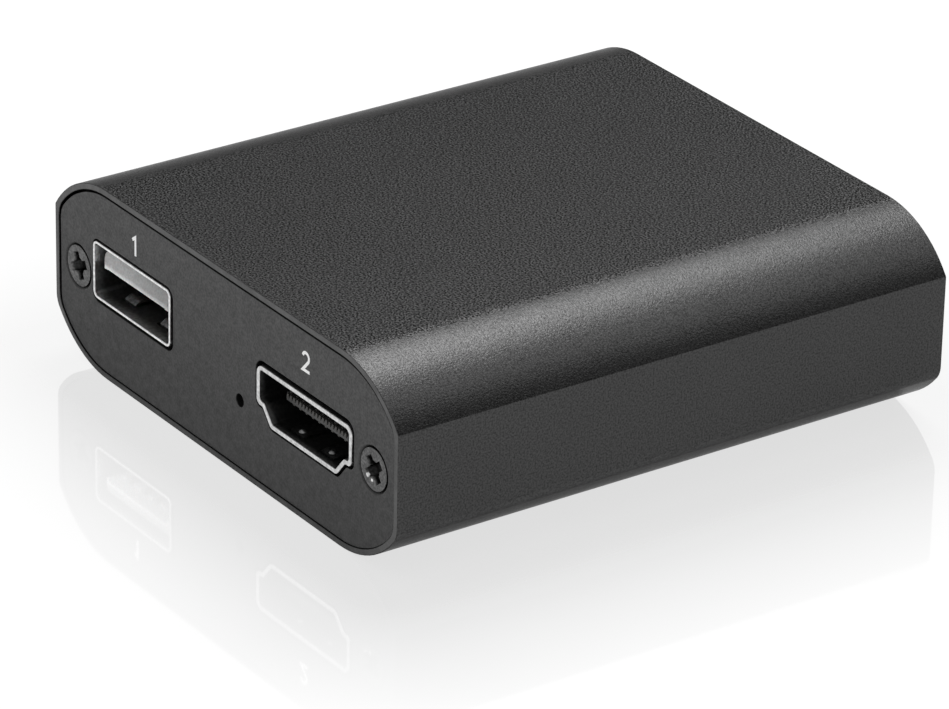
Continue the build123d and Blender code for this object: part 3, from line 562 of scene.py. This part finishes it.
def make_softened(node, body, slot, width, chosen):
    """A piece like its CAD node, with the sharp edges that are chosen softened."""
    bm = copied(node)
    rounded(bm, chosen, width)
    piece(node + "_soft", bm, node, body, [materials[finish_of(node, slot)]])


def arc(centre, radius, start, end, steps=14):
    """Points along an arc, with its angles in degrees."""
    angles = [radians(start + (end - start) * step / steps) for step in range(steps + 1)]
    return [(centre[0] + radius * cos(angle), centre[1] + radius * sin(angle))
            for angle in angles]


# The middle line of each number, one high
NUMBERS = {
    "1": [(-0.2, 0.74), (0.06, 0.93), (0.06, 0.0)],
    "2": arc((0.0, 0.69), 0.245, 165, -38) + [(-0.24, 0.065), (0.3, 0.065)],
    "3": [(-0.25, 0.935), (0.22, 0.935), (-0.02, 0.59)] + arc((0.0, 0.32), 0.255, 80, -150),
}


def make_number(text, x, z, end):
    """A number printed on a plate as a stroke of one width."""
    height, width, thick = 1.95 * MM, 0.29 * MM, 0.008 * MM
    middle = [Vector(point) * height for point in NUMBERS[text]]
    bm = bmesh.new()
    last = None
    for number, point in enumerate(middle):
        before = (point - middle[number - 1]).normalized() if number else None
        after = (middle[number + 1] - point).normalized() if number + 1 < len(middle) else None
        along = ((before or after) + (after or before)).normalized()
        reach = width / 2 / along.dot(before or after)
        side = Vector((-along.y, along.x)) * reach
        pair = [bm.verts.new((x - end * spot.x, end * PLATE_FACE, z + spot.y))
                for spot in (point + side, point - side)]
        if last:
            bm.faces.new((last[0], last[1], pair[1], pair[0]))
        last = pair
    for face in bm.faces:
        face.normal_update()
        if face.normal.y * end < 0:
            face.normal_flip()
    bmesh.ops.solidify(bm, geom=bm.faces, thickness=-thick)
    piece("number_" + text, bm, None, "housing", [materials["print"]])


def make_contacts(node, end):
    """The rows of flat contacts, with the comb of their ends on the front of the tongue."""
    bm = copied(node)
    low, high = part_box(node)
    middle = (low[0] + high[0]) / 2
    for number in range(-COMB_EACH_SIDE, COMB_EACH_SIDE + 1):
        place = Vector((middle + number * COMB_PITCH, end * COMB_FRONT, COMB_HEIGHT))
        bmesh.ops.create_cube(bm, size=1.0, matrix=Matrix.Translation(place) @ Matrix.Diagonal(
            (*COMB_STROKE, 1)))
    piece(node + "_comb", bm, node, "housing", [materials["comb"]])


def finish_of(node, slot):
    """The finish of a CAD node: its slot's own, but for sprung tabs and the video shells."""
    if node in ("output_shell", "input_shell"):
        return "video_shell"
    if "spring" in node:
        return "dull_spring" if node.startswith("usb") else "spring"
    return slot


place_camera()
make_world()
make_floor()
make_lamp("softbox", (-0.33, 0.38, 0.83), 0.9, (0.91, 0, 0.41), 0.52, 0.42, 4.6)
make_lamp("overhead", (0.20, 0.50, 0.84), 0.9, (0.97, 0, -0.2), 0.5, 0.5, 0.75)
materials = make_materials()
for name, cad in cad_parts.items():
    for place in cad.material_slots:
        place.material = materials[finish_of(name, place.material.name.split(".")[0])]
make_case()
make_plate("front_plate", -1)
make_plate("rear_plate", 1)
for node in ("front_plate_screws", "rear_plate_screws"):
    make_softened(node, "housing", "screw", SCREW_WIDTH, lambda edge: all(
        abs(corner.co.y) > PLATE_FACE - SCREW_FACE_DEPTH for corner in edge.verts))
for node, width in SHELL_WIDTHS:
    make_softened(node, "housing", "plated_shell", width, at_end)
make_contacts("output_contacts", -1)
make_contacts("input_contacts", 1)
for text, across, end in NUMBER_PLACES:
    make_number(text, across, NUMBER_LEVEL, end)

bpy.context.scene.view_settings.view_transform = "Standard"
